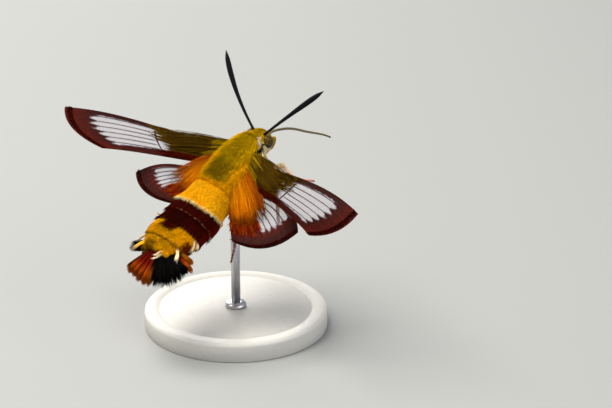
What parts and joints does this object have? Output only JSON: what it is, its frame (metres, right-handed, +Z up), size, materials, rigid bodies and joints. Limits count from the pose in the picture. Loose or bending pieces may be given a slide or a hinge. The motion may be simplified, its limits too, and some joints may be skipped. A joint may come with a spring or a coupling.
{
  "type": "hummingbird clearwing moth display model",
  "caption": "Life-size still model of a hovering hummingbird clearwing moth, wings spread and tongue out, held over a round base by a rod.",
  "frame": {"origin": "centre of the underside of the stand's round base", "axes": "+Z up; the moth faces -Y with its head raised; its right side is towards -X, its left towards +X"},
  "size_m": [0.0505, 0.046, 0.0413],
  "materials": {
    "thorax_coat": "long soft fur, olive-gold",
    "head_coat": "short soft fur, olive-gold",
    "abdomen_gold": "close fur, golden yellow to orange",
    "abdomen_burgundy": "close velvety scales, dark burgundy",
    "tail_rust": "long stiff hair, rusty orange",
    "tail_black": "long stiff hair, black",
    "eye": "glossy, dark olive to black",
    "palp": "short fur, cream",
    "antenna": "satin black, finely ringed",
    "proboscis": "satin grey-brown",
    "leg": "scaled, cream to red-brown",
    "wing": "clear membrane with dark veins and burgundy borders",
    "stand_base": "satin dark paint",
    "stand_rod": "brushed"
  },
  "bodies": {
    "root": {"thorax": "thorax_coat", "head": "head_coat", "abdomen_front": "abdomen_gold", "abdomen_band": "abdomen_burgundy", "abdomen_rear": "abdomen_gold", "tail_fan_middle": "tail_rust", "tail_fan_right": "tail_black", "tail_fan_left": "tail_black", "proboscis_root": "proboscis", "proboscis_tip": "proboscis", "eye_right": "eye", "palp_right": "palp", "antenna_right": "antenna", "leg_fore_right": "leg", "leg_mid_right": "leg", "leg_hind_right": "leg", "forewing_right": "wing", "hindwing_right": "wing", "eye_left": "eye", "palp_left": "palp", "antenna_left": "antenna", "leg_fore_left": "leg", "leg_mid_left": "leg", "leg_hind_left": "leg", "forewing_left": "wing", "hindwing_left": "wing", "stand_base": "stand_base", "stand_rod": "stand_rod"}
  },
  "joints": []
}
